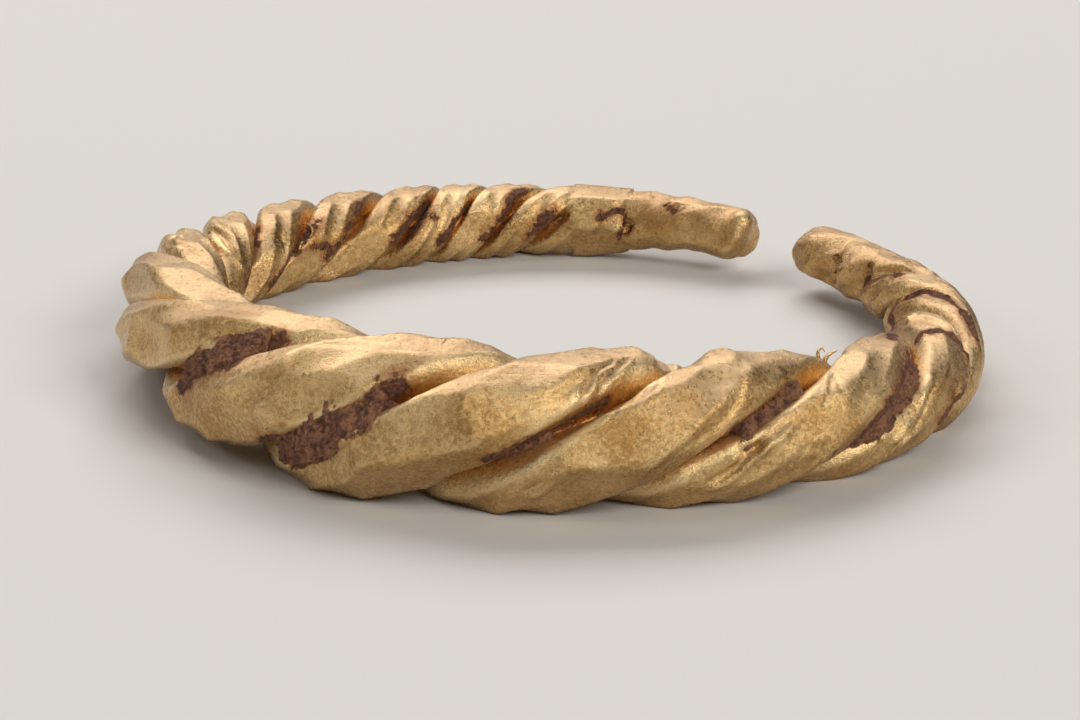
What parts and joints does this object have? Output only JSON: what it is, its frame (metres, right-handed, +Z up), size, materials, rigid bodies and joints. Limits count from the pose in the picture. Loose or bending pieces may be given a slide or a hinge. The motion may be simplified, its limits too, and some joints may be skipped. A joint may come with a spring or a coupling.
{
  "type": "twisted gold ring",
  "caption": "Open finger ring of hammered rods laid left-handed round each other, thick at the front and tapering to blunt welded ends with a narrow gap between them.",
  "frame": {"origin": "middle of the ring's box in plan, on the plane that the ring lies on", "axes": "+Z up with the ring lying flat, -Y towards the thick front, the gap between the ends towards +X and +Y"},
  "size_m": [0.028, 0.028, 0.005],
  "materials": {
    "gold": "hammered, satin, with fine pits, scratches and dark soil in the grooves"
  },
  "bodies": {
    "root": {"twisted_ring": "gold"}
  },
  "joints": []
}
